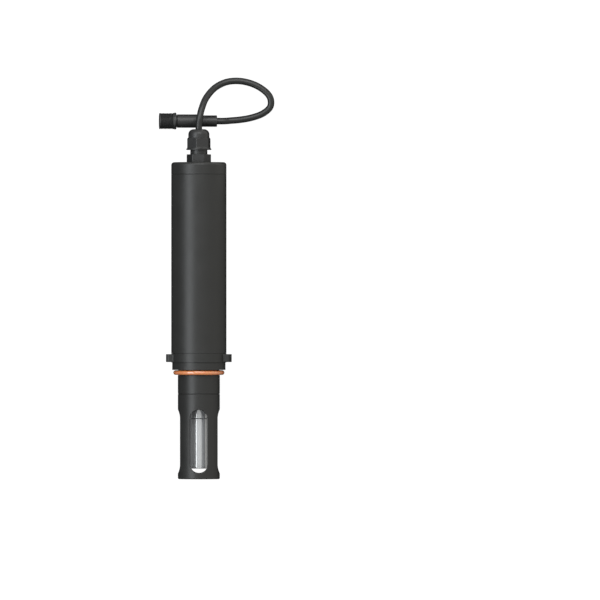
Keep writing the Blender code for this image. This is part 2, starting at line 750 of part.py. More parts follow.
def make_plug():
    front = -plug_front_length
    nose_end = front - plug_nose_length
    pocket_end = nose_end + plug_pocket_depth
    groove_front = front - clip_groove_from_front
    groove_rear = groove_front - clip_groove_width
    groove_radius = plug_nose_radius - clip_groove_depth
    outline = [
        (0, pocket_end), (plug_pocket_radius, pocket_end), (plug_pocket_radius, nose_end),
        (plug_nose_radius, nose_end), (plug_nose_radius, groove_rear), (groove_radius, groove_rear),
        (groove_radius, groove_front), (plug_nose_radius, groove_front), (plug_nose_radius, front),
        (plug_front_radius, front), (plug_front_radius, -plug_shoulder), (plug_rear_radius, 0),
        (plug_rear_radius, plug_rear_length), (0, plug_rear_length),
    ]
    turned("plug_body", outline, black_nylon, plug, small_sides)

    clip_inner = groove_radius + clearance
    clip_outer = clip_inner + clip_width
    clip_low = groove_rear + clearance
    clip = turned("nut_clip", [(clip_inner, clip_low), (clip_outer, clip_low),
                               (clip_outer, clip_low + clip_thickness), (clip_inner, clip_low + clip_thickness)],
                  steel, plug, small_sides)
    half = clip_opening / 2
    combine(clip, "DIFFERENCE", box_mesh("opening", (0, -half, clip_low - clip_opening),
                                         (clip_outer * 2, half, clip_low + clip_opening)))

    insert_rear = nose_end - clearance
    insert_front = insert_rear - insert_length
    stub = plug_pocket_radius - clearance
    insert = turned("plug_insert", [(0, insert_front), (plug_nose_radius, insert_front),
                                    (plug_nose_radius, insert_rear), (stub, insert_rear),
                                    (stub, pocket_end - clearance), (0, pocket_end - clearance)],
                    black_plastic, plug, small_sides)
    key = insert_key / 2
    combine(insert, "DIFFERENCE", box_mesh("key", (-key, plug_nose_radius - insert_key, insert_front - insert_key),
                                           (key, plug_nose_radius * 2, insert_rear)))
    pin_rear = pocket_end - 2 * clearance
    pin_front = pin_rear - pin_length
    tip = arc((0, pin_front + pin_radius), pin_radius, -90, 0, 3)
    for index in range(pin_count):
        turn = 2 * math.pi * (index + 0.5) / pin_count
        place = Matrix.Translation((pin_circle * math.cos(turn), pin_circle * math.sin(turn), 0))
        hole = turned_mesh("hole", [(0, insert_front - pin_length), (pin_hole_radius, insert_front - pin_length),
                                    (pin_hole_radius, 0), (0, 0)], 16)
        combine(insert, "DIFFERENCE", hole, place)
        pin = turned(f"contact_pin_{index + 1}", [*tip, (pin_radius, pin_rear), (0, pin_rear)],
                     gold_plate, plug, 12)
        pin.location = place.translation

    step = clip_low + clip_thickness + clearance
    rear_bore = plug_nose_radius + clearance
    nut_rear = front - clearance
    turned("coupling_nut", [
        (rear_bore, step), (nut_bore_radius, step), (nut_bore_radius, -thread_front),
        (thread_radius - thread_chamfer, -thread_front), (thread_radius, -thread_front + thread_chamfer),
        (thread_radius, -thread_end), (rim_radius, -rim_front), (rim_radius, -rim_rear),
        (nut_rear_radius, nut_rear), (rear_bore, nut_rear),
    ], black_nylon, plug, small_sides)


make_guard()
make_sensing_cap()
make_probe_stem()
make_optics()
make_probe_holder()
make_bayonet_ring()
make_housing()
make_electronics()
make_gland()
make_cable_tail()
make_plug()
make_cable()
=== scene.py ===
# Looks of a dissolved oxygen sensor: a black tube probe that lies on a pale floor, with a slotted guard over a
# steel sensing cap, an orange seal, a bayonet ring, a cable gland, and a short cable with a round plug.
import json

import bmesh
import bpy
import numpy as np
from mathutils import Matrix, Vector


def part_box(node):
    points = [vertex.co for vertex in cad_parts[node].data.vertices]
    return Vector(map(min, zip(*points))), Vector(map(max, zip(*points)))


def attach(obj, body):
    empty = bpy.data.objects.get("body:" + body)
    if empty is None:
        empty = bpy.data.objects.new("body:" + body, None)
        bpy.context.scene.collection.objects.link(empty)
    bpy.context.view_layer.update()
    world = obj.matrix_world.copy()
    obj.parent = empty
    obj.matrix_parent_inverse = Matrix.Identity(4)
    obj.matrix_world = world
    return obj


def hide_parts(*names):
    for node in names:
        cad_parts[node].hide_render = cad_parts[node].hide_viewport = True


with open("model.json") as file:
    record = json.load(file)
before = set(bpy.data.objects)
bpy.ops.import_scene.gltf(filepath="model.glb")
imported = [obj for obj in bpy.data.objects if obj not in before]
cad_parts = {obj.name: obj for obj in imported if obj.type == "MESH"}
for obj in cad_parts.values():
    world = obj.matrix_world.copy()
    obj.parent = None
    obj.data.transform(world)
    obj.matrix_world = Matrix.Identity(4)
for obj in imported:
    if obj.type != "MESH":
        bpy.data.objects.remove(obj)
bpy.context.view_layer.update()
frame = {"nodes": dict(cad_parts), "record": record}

mm = 0.001

# The probe is measured in millimetres along its axis from the guard's tip, and in angles from the top
# towards +X
tubeLow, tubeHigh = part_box("housing_tube")
probe = {
    "origin": np.array([0.0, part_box("guard")[0].y / mm, (tubeLow.z + tubeHigh.z) / 2 / mm]),
    "axis": np.array([0.0, 1.0, 0.0]),
    "up": np.array([0.0, 0.0, 1.0]),
    "side": np.array([1.0, 0.0, 0.0]),
}

# The plug is measured along its own axis from its shoulder, positive towards the cable; it leans on its rim
plugTilt = np.radians(3.764)
plug = {
    "origin": np.array([0.0, 132.85, 4.974]),
    "axis": np.array([np.cos(plugTilt), 0.0, -np.sin(plugTilt)]),
    "up": np.array([np.sin(plugTilt), 0.0, np.cos(plugTilt)]),
    "side": np.array([0.0, 1.0, 0.0]),
}


# Camera: straight above and far away with a long lens, as flat as a catalogue picture

cameraSet = {"height": 10.0, "x": 0.0733, "y": 0.0030, "lens": 828.0, "sensor": 36.0, "farthest": 40.0}

lens = bpy.data.cameras.new("camera")
lens.sensor_width = cameraSet["sensor"]
lens.lens = cameraSet["lens"]
lens.clip_end = cameraSet["farthest"]
camera = bpy.data.objects.new("camera", lens)
camera.location = (cameraSet["x"], cameraSet["y"], probe["origin"][2] * mm + cameraSet["height"])
bpy.context.scene.collection.objects.link(camera)
bpy.context.scene.camera = camera
bpy.context.scene.view_settings.view_transform = "Standard"
print("camera placed")


# Small tools for finishes

def linear(code):
    # sRGB hex to linear light
    parts = np.array([int(code[start:start + 2], 16) for start in (0, 2, 4)]) / 255
    light = np.where(parts <= 0.04045, parts / 12.92, ((parts + 0.055) / 1.055) ** 2.4)
    return (*light.tolist(), 1.0)


def addNode(tree, kind, inputs=None, **settings):
    # One node with its settings, its plain input values and its incoming links
    node = tree.nodes.new("ShaderNode" + kind)
    for name, value in settings.items():
        setattr(node, name, value)
    for name, value in (inputs or {}).items():
        if isinstance(value, bpy.types.NodeSocket):
            tree.links.new(value, node.inputs[name])
        else:
            node.inputs[name].default_value = value
    return node


def newFinish(name, values):
    # A material whose shader has these uniform values on its own sockets
    material = bpy.data.materials.new(name)
    material.use_nodes = True
    shader = material.node_tree.nodes["Principled BSDF"]
    for socket, value in values.items():
        shader.inputs[socket].default_value = value
    return material, material.node_tree, shader


def connect(tree, shader, sockets):
    # What the nodes worked out goes into the shader
    for name, socket in sockets.items():
        tree.links.new(socket, shader.inputs[name])


def perSize(size):
    # A noise whose spots are about this many millimetres across, on coordinates in metres
    return 1 / (size * mm)


# Black acetal rod and tube, turned on a lathe: satin, nearly black, with faint turning rings that draw a
# highlight out along the axis, and soft patches where handling has dulled or polished it.
def turnedAcetal():
    material, tree, shader = newFinish("turnedAcetal", {"IOR": 1.49})
    place = addNode(tree, "TexCoord").outputs["Object"]
    along = addNode(tree, "SeparateXYZ", {"Vector": place}).outputs["Y"]
    # Real rings are about 0.15 mm apart; these are drawn four times as coarse so that they show
    rings = addNode(tree, "TexNoise", {"W": along, "Scale": perSize(0.6), "Detail": 3.0},
                    noise_dimensions="1D").outputs[0]
    patches = addNode(tree, "TexNoise", {"Vector": place, "Scale": perSize(14), "Detail": 4.0}).outputs[0]
    grain = addNode(tree, "TexNoise", {"Vector": place, "Scale": perSize(0.4), "Detail": 2.0}).outputs[0]
    tone = addNode(tree, "Mix", {0: patches, 6: linear("1d1d1c"), 7: linear("232322")},
                   data_type="RGBA").outputs[2]
    rough = addNode(tree, "MapRange", {"Value": patches, 1: 0.3, 2: 0.7, 3: 0.37, 4: 0.44}).outputs[0]
    height = addNode(tree, "Math", {0: rings, 1: 0.5, 2: grain}, operation="MULTIPLY_ADD").outputs[0]
    bump = addNode(tree, "Bump", {"Strength": 0.25, "Distance": 0.012 * mm, "Height": height}).outputs[0]
    connect(tree, shader, {"Base Color": tone, "Roughness": rough, "Normal": bump})
    return material


# Black nylon, injection moulded: a fine even spark-eroded grain breaks up highlights and greys them a little.
def mouldedNylon():
    material, tree, shader = newFinish("mouldedNylon", {"IOR": 1.53})
    place = addNode(tree, "TexCoord").outputs["Object"]
    # The mould's grain is about 0.1 mm; it is drawn at 0.25 mm so that it shows
    grain = addNode(tree, "TexVoronoi", {"Vector": place, "Scale": perSize(0.25)}).outputs["Distance"]
    patches = addNode(tree, "TexNoise", {"Vector": place, "Scale": perSize(6), "Detail": 3.0}).outputs[0]
    tone = addNode(tree, "Mix", {0: patches, 6: linear("1c1c1c"), 7: linear("242424")},
                   data_type="RGBA").outputs[2]
    rough = addNode(tree, "MapRange", {"Value": patches, 1: 0.3, 2: 0.7, 3: 0.36, 4: 0.44}).outputs[0]
    bump = addNode(tree, "Bump", {"Strength": 0.2, "Distance": 0.02 * mm, "Height": grain}).outputs[0]
    connect(tree, shader, {"Base Color": tone, "Roughness": rough, "Normal": bump})
    return material


# Stainless steel, turned and vapour blasted: satin, so that the dark posts round it melt into a soft gradient,
# with one thin sharp line of light from the film of oil on it, which is the coat.
def turnedStainless():
    values = {"Metallic": 0.4, "Coat Weight": 1.0, "Coat Roughness": 0.05, "Coat IOR": 3.2}
    material, tree, shader = newFinish("turnedStainless", values)
    place = addNode(tree, "TexCoord").outputs["Object"]
    along = addNode(tree, "SeparateXYZ", {"Vector": place}).outputs["Y"]
    # Turning leaves rings about 0.05 mm apart; they are drawn at 0.3 mm so that they show
    rings = addNode(tree, "TexNoise", {"W": along, "Scale": perSize(0.3), "Detail": 4.0},
                    noise_dimensions="1D").outputs[0]
    stains = addNode(tree, "TexNoise", {"Vector": place, "Scale": perSize(5), "Detail": 5.0}).outputs[0]
    tone = addNode(tree, "Mix", {0: stains, 6: linear("b2b4b6"), 7: linear("bdbec0")},
                   data_type="RGBA").outputs[2]
    rough = addNode(tree, "MapRange", {"Value": stains, 1: 0.3, 2: 0.7, 3: 0.60, 4: 0.68}).outputs[0]
    bump = addNode(tree, "Bump", {"Strength": 0.3, "Distance": 0.006 * mm, "Height": rings}).outputs[0]
    connect(tree, shader, {"Base Color": tone, "Roughness": rough, "Normal": bump})
    return material


# Orange silicone, moulded and greased: light goes a little way in, so its shaded side glows, and the grease
# gives it wet, bright highlights.
def mouldedSilicone():
    values = {"IOR": 1.43, "Subsurface Weight": 0.25, "Subsurface Scale": 1.2 * mm,
              "Subsurface Radius": (1.0, 0.35, 0.15), "Coat Weight": 1.0, "Coat Roughness": 0.10,
              "Coat IOR": 1.9}
    material, tree, shader = newFinish("mouldedSilicone", values)
    place = addNode(tree, "TexCoord").outputs["Object"]
    cloud = addNode(tree, "TexNoise", {"Vector": place, "Scale": perSize(3), "Detail": 4.0}).outputs[0]
    dust = addNode(tree, "TexNoise", {"Vector": place, "Scale": perSize(0.3), "Detail": 3.0}).outputs[0]
    tone = addNode(tree, "Mix", {0: cloud, 6: linear("d58048"), 7: linear("da8752")},
                   data_type="RGBA").outputs[2]
    rough = addNode(tree, "MapRange", {"Value": dust, 1: 0.35, 2: 0.65, 3: 0.24, 4: 0.34}).outputs[0]
    bump = addNode(tree, "Bump", {"Strength": 0.15, "Distance": 0.02 * mm, "Height": dust}).outputs[0]
    connect(tree, shader, {"Base Color": tone, "Roughness": rough, "Normal": bump})
    return material


# Black nitrile rubber, moulded: dull, with a greyish bloom on its skin.
def mouldedNitrile():
    material, tree, shader = newFinish("mouldedNitrile", {"Roughness": 0.6, "IOR": 1.52})
    place = addNode(tree, "TexCoord").outputs["Object"]
    bloom = addNode(tree, "TexNoise", {"Vector": place, "Scale": perSize(1.5), "Detail": 4.0}).outputs[0]
    tone = addNode(tree, "Mix", {0: bloom, 6: linear("161616"), 7: linear("262524")},
                   data_type="RGBA").outputs[2]
    bump = addNode(tree, "Bump", {"Strength": 0.2, "Distance": 0.02 * mm, "Height": bloom}).outputs[0]
    connect(tree, shader, {"Base Color": tone, "Normal": bump})
    return material


# Black polyurethane jacket, extruded: fine lines run along it from the die, and give one long silky streak.
def extrudedJacket():
    material, tree, shader = newFinish("extrudedJacket", {"IOR": 1.52})
    spread = addNode(tree, "UVMap", uv_map="lengthwise").outputs["UV"]
    # Across the cable a line is 0.3 mm wide, and along it each runs on for about 40 mm
    drawn = addNode(tree, "Mapping", {"Vector": spread, "Scale": (perSize(0.3), perSize(40), 1.0)})
    lines = addNode(tree, "TexNoise", {"Vector": drawn.outputs[0], "Scale": 1.0, "Detail": 2.0}).outputs[0]
    place = addNode(tree, "TexCoord").outputs["Object"]
    patches = addNode(tree, "TexNoise", {"Vector": place, "Scale": perSize(9), "Detail": 4.0}).outputs[0]
    tone = addNode(tree, "Mix", {0: patches, 6: linear("141414"), 7: linear("1b1c1b")},
                   data_type="RGBA").outputs[2]
    rough = addNode(tree, "MapRange", {"Value": patches, 1: 0.3, 2: 0.7, 3: 0.31, 4: 0.38}).outputs[0]
    bump = addNode(tree, "Bump", {"Strength": 0.25, "Distance": 0.02 * mm, "Height": lines}).outputs[0]
    connect(tree, shader, {"Base Color": tone, "Roughness": rough, "Normal": bump})
    return material


# Glass laminate under green solder mask, screen printed: glossy, with the weave faint beneath.
def solderMask():
    material, tree, shader = newFinish("solderMask", {"Roughness": 0.35, "IOR": 1.5})
    place = addNode(tree, "TexCoord").outputs["Object"]
    # Glass cloth has about two threads a millimetre
    weave = addNode(tree, "TexChecker", {"Vector": place, "Scale": perSize(0.5)}).outputs["Fac"]
    cloud = addNode(tree, "TexNoise", {"Vector": place, "Scale": perSize(7), "Detail": 3.0}).outputs[0]
    tone = addNode(tree, "Mix", {0: cloud, 6: linear("14522c"), 7: linear("1b6437")},
                   data_type="RGBA").outputs[2]
    bump = addNode(tree, "Bump", {"Strength": 0.1, "Distance": 0.02 * mm, "Height": weave}).outputs[0]
    connect(tree, shader, {"Base Color": tone, "Normal": bump})
    return material


# Optical polymer, polished and dyed dark against stray light: a glassy face over a deep tone.
def polishedOptic():
    values = {"Roughness": 0.06, "IOR": 1.57, "Coat Weight": 0.4, "Coat Roughness": 0.03}
    material, tree, shader = newFinish("polishedOptic", values)
    place = addNode(tree, "TexCoord").outputs["Object"]
    cloud = addNode(tree, "TexNoise", {"Vector": place, "Scale": perSize(2), "Detail": 4.0}).outputs[0]
    tone = addNode(tree, "Mix", {0: cloud, 6: linear("4a1f2a"), 7: linear("5a2833")},
                   data_type="RGBA").outputs[2]
    connect(tree, shader, {"Base Color": tone})
    return material


# Brass contacts, gold plated: warm and bright, with the drawn wire's fine marks left under the plating.
def goldPlate():
    material, tree, shader = newFinish("goldPlate", {"Metallic": 1.0})
    place = addNode(tree, "TexCoord").outputs["Object"]
    marks = addNode(tree, "TexNoise", {"Vector": place, "Scale": perSize(0.4), "Detail": 4.0}).outputs[0]
    tone = addNode(tree, "Mix", {0: marks, 6: linear("dcae5a"), 7: linear("ebc478")},
                   data_type="RGBA").outputs[2]
    rough = addNode(tree, "MapRange", {"Value": marks, 1: 0.3, 2: 0.7, 3: 0.18, 4: 0.28}).outputs[0]
    connect(tree, shader, {"Base Color": tone, "Roughness": rough})
    return material


finishes = {
    "black_plastic": turnedAcetal(),
    "black_nylon": mouldedNylon(),
    "steel": turnedStainless(),
    "orange_rubber": mouldedSilicone(),
    "black_rubber": mouldedNitrile(),
    "cable_jacket": extrudedJacket(),
    "board_laminate": solderMask(),
    "clear_optic": polishedOptic(),
    "gold_plate": goldPlate(),
}
slotOf = {part["node"]: part["material_slot"] for part in frame["record"]["subparts"]}
for node, solid in frame["nodes"].items():
    solid.data.materials.clear()
    solid.data.materials.append(finishes[slotOf[node]])
print("finishes made for", len(slotOf), "nodes")


# Small tools for shapes

def around(axes, radius, angle, height):
    # A point is the origin, plus its height along the axis, plus its radius towards its angle from the top
    radius, angle, height = (part[..., None] for part in np.broadcast_arrays(radius, angle, height))
    out = np.cos(angle) * axes["up"] + np.sin(angle) * axes["side"]
    return (axes["origin"] + height * axes["axis"] + radius * out) * mm


def fullTurn(steps):
    # Even angles once round, with the first again at the end
    return np.linspace(0, 2 * np.pi, steps + 1)


def eased(outline, ease, closed=True, steps=4):
    # Each corner becomes a circular arc: a rational quadratic between the two points where the arc meets the
    # sides, with the corner as control point and the sine of half the corner's angle as its weight
    points = np.array(outline, float)
    radius = np.broadcast_to(np.asarray(ease, float), len(points)).copy()
    if not closed:
        radius[[0, -1]] = 0.0
    back = np.roll(points, 1, 0) - points
    ahead = np.roll(points, -1, 0) - points
    back /= np.linalg.norm(back, axis=1, keepdims=True)
    ahead /= np.linalg.norm(ahead, axis=1, keepdims=True)
    half = np.arccos(np.clip((back * ahead).sum(1), -1, 1)) / 2
    reach = (radius / np.tan(half))[:, None]
    weight = np.sin(half)[:, None, None]
    t = np.linspace(0, 1, steps + 1)[None, :, None]
    arc = ((1 - t) ** 2 * (points + back * reach)[:, None] + 2 * weight * t * (1 - t) * points[:, None]
           + t ** 2 * (points + ahead * reach)[:, None])
    arc = arc / ((1 - t) ** 2 + 2 * weight * t * (1 - t) + t ** 2)
    return arc.reshape(-1, 2)


def turned(axes, outline, steps):
    # A closed outline of radius and height, spun once round the axis
    rows = np.vstack([outline, outline[:1]])
    return around(axes, rows[:, :1], fullTurn(steps), rows[:, 1:])


rowsPerPitch = 12


def tooth(phase):
    # 0 on the crest and 1 in the root of a V thread: a triangle wave of the turns passed, its tips cut flat
    return np.clip(1.25 * (1 - np.abs(2 * (phase % 1) - 1)) - 0.125, 0, 1)


def threaded(axes, outline, crest, span, pitch, depth, steps):
    # As turned, but between the two heights of span the radius dips by depth in a helix: a tooth for every
    # pitch of height less one for every turn, fading in and out over one pitch
    rows = np.array(outline, float)
    place = np.argmax((np.abs(rows[:, 0] - crest) < 1e-6) & (np.abs(np.roll(rows[:, 0], -1) - crest) < 1e-6))
    first, last = sorted(span, reverse=bool(rows[place, 1] > rows[(place + 1) % len(rows), 1]))
    fine = np.linspace(first, last, int(abs(last - first) / pitch * rowsPerPitch) + 1)
    rows = np.vstack([rows[:place + 1], np.stack([np.full_like(fine, crest), fine], 1), rows[place + 1:]])
    rows = np.vstack([rows, rows[:1]])
    radius, height = rows[:, :1], rows[:, 1:]
    angle = fullTurn(steps)
    fade = np.clip((height - min(span)) / pitch, 0, 1) * np.clip((max(span) - height) / pitch, 0, 1)
    fade = fade * (np.abs(radius - crest) < 1e-6)
    dip = depth * fade * tooth(height / pitch - angle / (2 * np.pi))
    return around(axes, radius - dip, angle, height)


def stacked(axes, rows, angle):
    # A closed grid from rows of a radius, one number or one for each angle, and a height
    rows = rows + rows[:1]
    radius = np.array([np.broadcast_to(row[0], angle.shape) for row in rows])
    height = np.array([row[1] for row in rows])[:, None]
    return around(axes, radius, angle, height)


def gridFaces(shape, start):
    # A quad is a point, the next in its row, and the same two in the next row
    rows, columns = shape[:2]
    corner = start + np.arange(rows * columns).reshape(rows, columns)[:-1, :-1]
    return np.stack([corner, corner + 1, corner + columns + 1, corner + columns], -1).reshape(-1, 4)


def makePiece(name, patches, slot, body, nodes, spread=None):
    # Grids of points become one closed mesh: a quad between each four neighbours, seams and poles merged,
    # the faces turned outwards, and edges sharper than the crease kept sharp
    crease = np.radians(32)
    starts = np.cumsum([0] + [patch.shape[0] * patch.shape[1] for patch in patches])
    points = np.vstack([patch.reshape(-1, 3) for patch in patches])
    faces = np.vstack([gridFaces(patch.shape, start) for patch, start in zip(patches, starts)])
    mesh = bpy.data.meshes.new(name)
    mesh.from_pydata(points.tolist(), [], faces.tolist())
    if spread is not None:
        layer = mesh.uv_layers.new(name="lengthwise")
        layer.data.foreach_set("uv", spread.reshape(-1, 2)[faces.ravel()].ravel())
    shell = bmesh.new()
    shell.from_mesh(mesh)
    bmesh.ops.remove_doubles(shell, verts=shell.verts, dist=1e-6)
    bmesh.ops.recalc_face_normals(shell, faces=shell.faces)
    shell.to_mesh(mesh)
    shell.free()
    mesh.materials.append(finishes[slot])
    mesh.shade_smooth()
    mesh.set_sharp_from_angle(angle=crease)
    piece = bpy.data.objects.new(name, mesh)
    bpy.context.scene.collection.objects.link(piece)
    evened = piece.modifiers.new("evened", "WEIGHTED_NORMAL")
    evened.keep_sharp = True
    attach(piece, body)
    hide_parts(*nodes)
    print("made", name, len(mesh.polygons))
    return piece


# Housing tube and end cap

housingSet = {"radius": 20.0, "bore": 17.0, "low": 91.08, "high": 220.77, "edge": 0.12}


def makeHousing(s=housingSet):
    outline = [(s["bore"], s["low"]), (s["radius"], s["low"]), (s["radius"], s["high"]), (s["bore"], s["high"])]
    makePiece("housing", [turned(probe, eased(outline, s["edge"]), steps=256)], "black_plastic", "sensor",
              ["housing_tube"])


endCapSet = {
    "radius": 20.0, "low": 220.82, "high": 229.6, "corner": 2.1, "edge": 0.12, "seamEdge": 0.32,
    "spigotRadius": 16.7, "spigotLow": 205.7, "grooveRadius": 15.0, "grooveLow": 210.7,
    "grooveHigh": 212.7, "cavity": 12.0, "cavityTop": 218.2, "hole": 6.2, "seat": 7.9, "seatDepth": 1.8,
}


def makeEndCap(s=endCapSet):
    outline = [
        (s["cavity"], s["spigotLow"]), (s["spigotRadius"], s["spigotLow"]), (s["spigotRadius"], s["grooveLow"]),
        (s["grooveRadius"], s["grooveLow"]), (s["grooveRadius"], s["grooveHigh"]),
        (s["spigotRadius"], s["grooveHigh"]), (s["spigotRadius"], s["low"]), (s["radius"], s["low"]),
        (s["radius"], s["high"]), (s["seat"], s["high"]), (s["seat"], s["high"] - s["seatDepth"]),
        (s["hole"], s["high"] - s["seatDepth"]), (s["hole"], s["cavityTop"]), (s["cavity"], s["cavityTop"]),
    ]
    ease = np.full(len(outline), s["edge"])
    ease[outline.index((s["radius"], s["high"]))] = s["corner"]
    ease[outline.index((s["radius"], s["low"]))] = s["seamEdge"]
    makePiece("endCap", [turned(probe, eased(outline, ease, steps=8), steps=256)], "black_plastic",
              "sensor", ["end_cap"])


# Bayonet ring: a plain ring with two lugs, each a block with flat parallel sides and a round end

ringSet = {
    "radius": 20.0, "bore": 17.0, "low": 84.47, "high": 91.03, "edge": 0.12, "lugReach": 23.8, "lugHalf": 8.5,
    "lugLow": 84.8, "lugHigh": 90.5, "lugEdge": 0.35, "turn": 87.0, "softness": 90, "steps": 480,
}


def makeBayonetRing(s=ringSet):
    # Radius against angle: the lug's end or its flat side, whichever is nearer, and never less than the ring
    angle = fullTurn(s["steps"])
    across = np.abs(np.sin(angle - np.radians(s["turn"])))

    def lug(inset):
        end = s["lugReach"] - inset
        side = (s["lugHalf"] - inset) / np.maximum(across, 1e-3)
        nearer = (end ** -s["softness"] + side ** -s["softness"]) ** (-1 / s["softness"])
        return np.maximum(nearer, s["radius"])

    # The lug's upper and lower edges are quarter rounds
    quarter = np.radians(np.linspace(0, 90, 6))
    inset = s["lugEdge"] * (1 - np.sin(quarter))
    rise = s["lugEdge"] * (1 - np.cos(quarter))
    edge = s["edge"]
    rows = [(s["bore"], s["low"]), (s["radius"] - edge, s["low"]), (s["radius"], s["lugLow"])]
    rows += [(lug(inset[i]), s["lugLow"] + rise[i]) for i in range(len(quarter))]
    rows += [(lug(inset[i]), s["lugHigh"] - rise[i]) for i in reversed(range(len(quarter)))]
    rows += [(s["radius"], s["lugHigh"]), (s["radius"], s["high"] - edge), (s["radius"] - edge, s["high"]),
             (s["bore"], s["high"])]
    makePiece("bayonetRing", [stacked(probe, rows, angle)], "black_plastic", "sensor", ["bayonet_ring"])


# Probe holder: the threaded end inside the guard, the neck, the collar and the spigot up the housing

holderSet = {
    "bore": 7.3, "threadCrest": 12.2, "threadLow": 53.3, "threadSpan": (53.8, 61.2), "pitch": 1.5,
    "threadDepth": 0.55, "neck": 15.2, "neckLow": 61.58, "sealLow": 75.2, "sealGroove": 14.9, "collar": 19.3,
    "collarLow": 79.1, "collarTop": 84.42, "spigot": 16.7, "spigotTop": 105.4, "grooveRadius": 15.0,
    "grooveLow": 99.6, "grooveHigh": 101.6, "seat": 10.3, "seatLow": 99.4, "edge": 0.1, "seamEdge": 0.5,
}


def makeProbeHolder(s=holderSet):
    outline = [
        (s["bore"], s["threadLow"]), (s["threadCrest"], s["threadLow"]), (s["threadCrest"], s["neckLow"]),
        (s["neck"], s["neckLow"]), (s["neck"], s["sealLow"]), (s["sealGroove"], s["sealLow"]),
        (s["sealGroove"], s["collarLow"]), (s["collar"], s["collarLow"]), (s["collar"], s["collarTop"]),
        (s["spigot"], s["collarTop"]), (s["spigot"], s["grooveLow"]), (s["grooveRadius"], s["grooveLow"]),
        (s["grooveRadius"], s["grooveHigh"]), (s["spigot"], s["grooveHigh"]), (s["spigot"], s["spigotTop"]),
        (s["seat"], s["spigotTop"]), (s["seat"], s["seatLow"]), (s["bore"], s["seatLow"]),
    ]
    ease = np.full(len(outline), s["edge"])
    ease[outline.index((s["neck"], s["neckLow"]))] = s["seamEdge"]
    patch = threaded(probe, eased(outline, ease), s["threadCrest"], s["threadSpan"], s["pitch"],
                     s["threadDepth"], steps=256)
    makePiece("probeHolder", [patch], "black_plastic", "sensor", ["probe_holder"])


# Face seal: a torus with a thin parting line left by its mould

sealSet = {"middle": 16.85, "height": 77.15, "thickness": 3.3, "flash": 0.04, "flashWidth": 0.10}


def makeFaceSeal(s=sealSet):
    # Round section; the flash is a narrow bell of extra radius on the outermost line
    turn = np.linspace(-np.pi, np.pi, 65)[:-1]
    section = s["thickness"] / 2 + s["flash"] * np.exp(-(turn / s["flashWidth"]) ** 2)
    outline = np.stack([s["middle"] + section * np.cos(turn), s["height"] + section * np.sin(turn)], 1)
    makePiece("faceSeal", [turned(probe, outline, steps=256)], "orange_rubber", "sensor", ["face_seal"])


# Guard: a sleeve with four round-ended slots. Each quarter is one grid that runs from the quarter's border over
# the outside to a slot, round its edge, through the wall, and back over the inside.

guardSet = {
    "radius": 15.2, "bore": 12.5, "length": 61.52, "slots": 4, "slotHalf": 6.4, "slotLow": 4.3,
    "slotHigh": 50.2, "slotEdge": 0.45, "tipChamfer": 0.6, "edge": 0.2, "gridLow": 1.4, "gridHigh": 51.6,
    "threadSpan": (52.4, 61.0), "pitch": 1.5, "threadDepth": 0.5,
}


def slotGrid(s, endSteps=12, sideSteps=22, skinRows=12):
    # Going round the slot: up its right side, over its far end, down its left side, back round its near end.
    # Each point has a partner on the quarter's border: the same height beside the straight sides, and a third
    # of the way up, across and down beside the round ends.
    half, border = s["slotHalf"], np.pi / s["slots"]
    near, far = s["slotLow"] + half, s["slotHigh"] - half
    turn = np.linspace(0, np.pi, 4 * endSteps + 1)
    stops = np.pi * np.array([0, 0.25, 0.75, 1])
    side = np.linspace(0, 1, sideSteps + 1)[1:-1]
    still = np.ones_like(side)
    aim = np.interp(turn, stops, [border, border, -border, -border])
    normal = np.concatenate([np.stack([still, 0 * still]), [np.cos(turn), np.sin(turn)],
                             np.stack([-still, 0 * still]), [-np.cos(turn), -np.sin(turn)]], 1)
    lateral = half * normal[0]
    height = np.concatenate([near + (far - near) * side, far + half * np.sin(turn),
                             far - (far - near) * side, near - half * np.sin(turn)])
    borderAngle = np.concatenate([border * still, aim, -border * still, -aim])
    borderHeight = np.concatenate([near + (far - near) * side,
                                   np.interp(turn, stops, [far, s["gridHigh"], s["gridHigh"], far]),
                                   far - (far - near) * side,
                                   np.interp(turn, stops, [near, s["gridLow"], s["gridLow"], near])])

    def skin(radius):
        # On a cylinder, straight in angle and height from the border to the slot's edge
        x = lateral + s["slotEdge"] * normal[0]
        slotAngle = np.arcsin(x / radius)
        blend = np.linspace(0, 1, skinRows + 1)[:, None]
        angle = (1 - blend) * borderAngle + blend * slotAngle
        up = (1 - blend) * borderHeight + blend * (height + s["slotEdge"] * normal[1])
        return radius * np.sin(angle), radius * np.cos(angle), up

    def lip(radius, sign):
        # A quarter round from the skin into the slot's wall
        turnIn = np.radians(np.linspace(0, 90, 6))[1:, None]
        off = s["slotEdge"] * (1 - np.sin(turnIn))
        x = lateral + off * normal[0]
        drop = s["slotEdge"] * (1 - np.cos(turnIn))
        return x, np.sqrt(radius ** 2 - x ** 2) - sign * drop, height + off * normal[1]

    outerSkin, outerLip = skin(s["radius"]), lip(s["radius"], 1)
    innerLip, innerSkin = lip(s["bore"], -1), skin(s["bore"])
    parts = [np.vstack([outerSkin[i], outerLip[i], innerLip[i][::-1], innerSkin[i][::-1]]) for i in range(3)]
    x, out, up = (np.hstack([part, part[:, :1]]) for part in parts)
    return np.hypot(x, out), np.arctan2(x, out), up, np.linspace(-border, border, 2 * endSteps + 1)


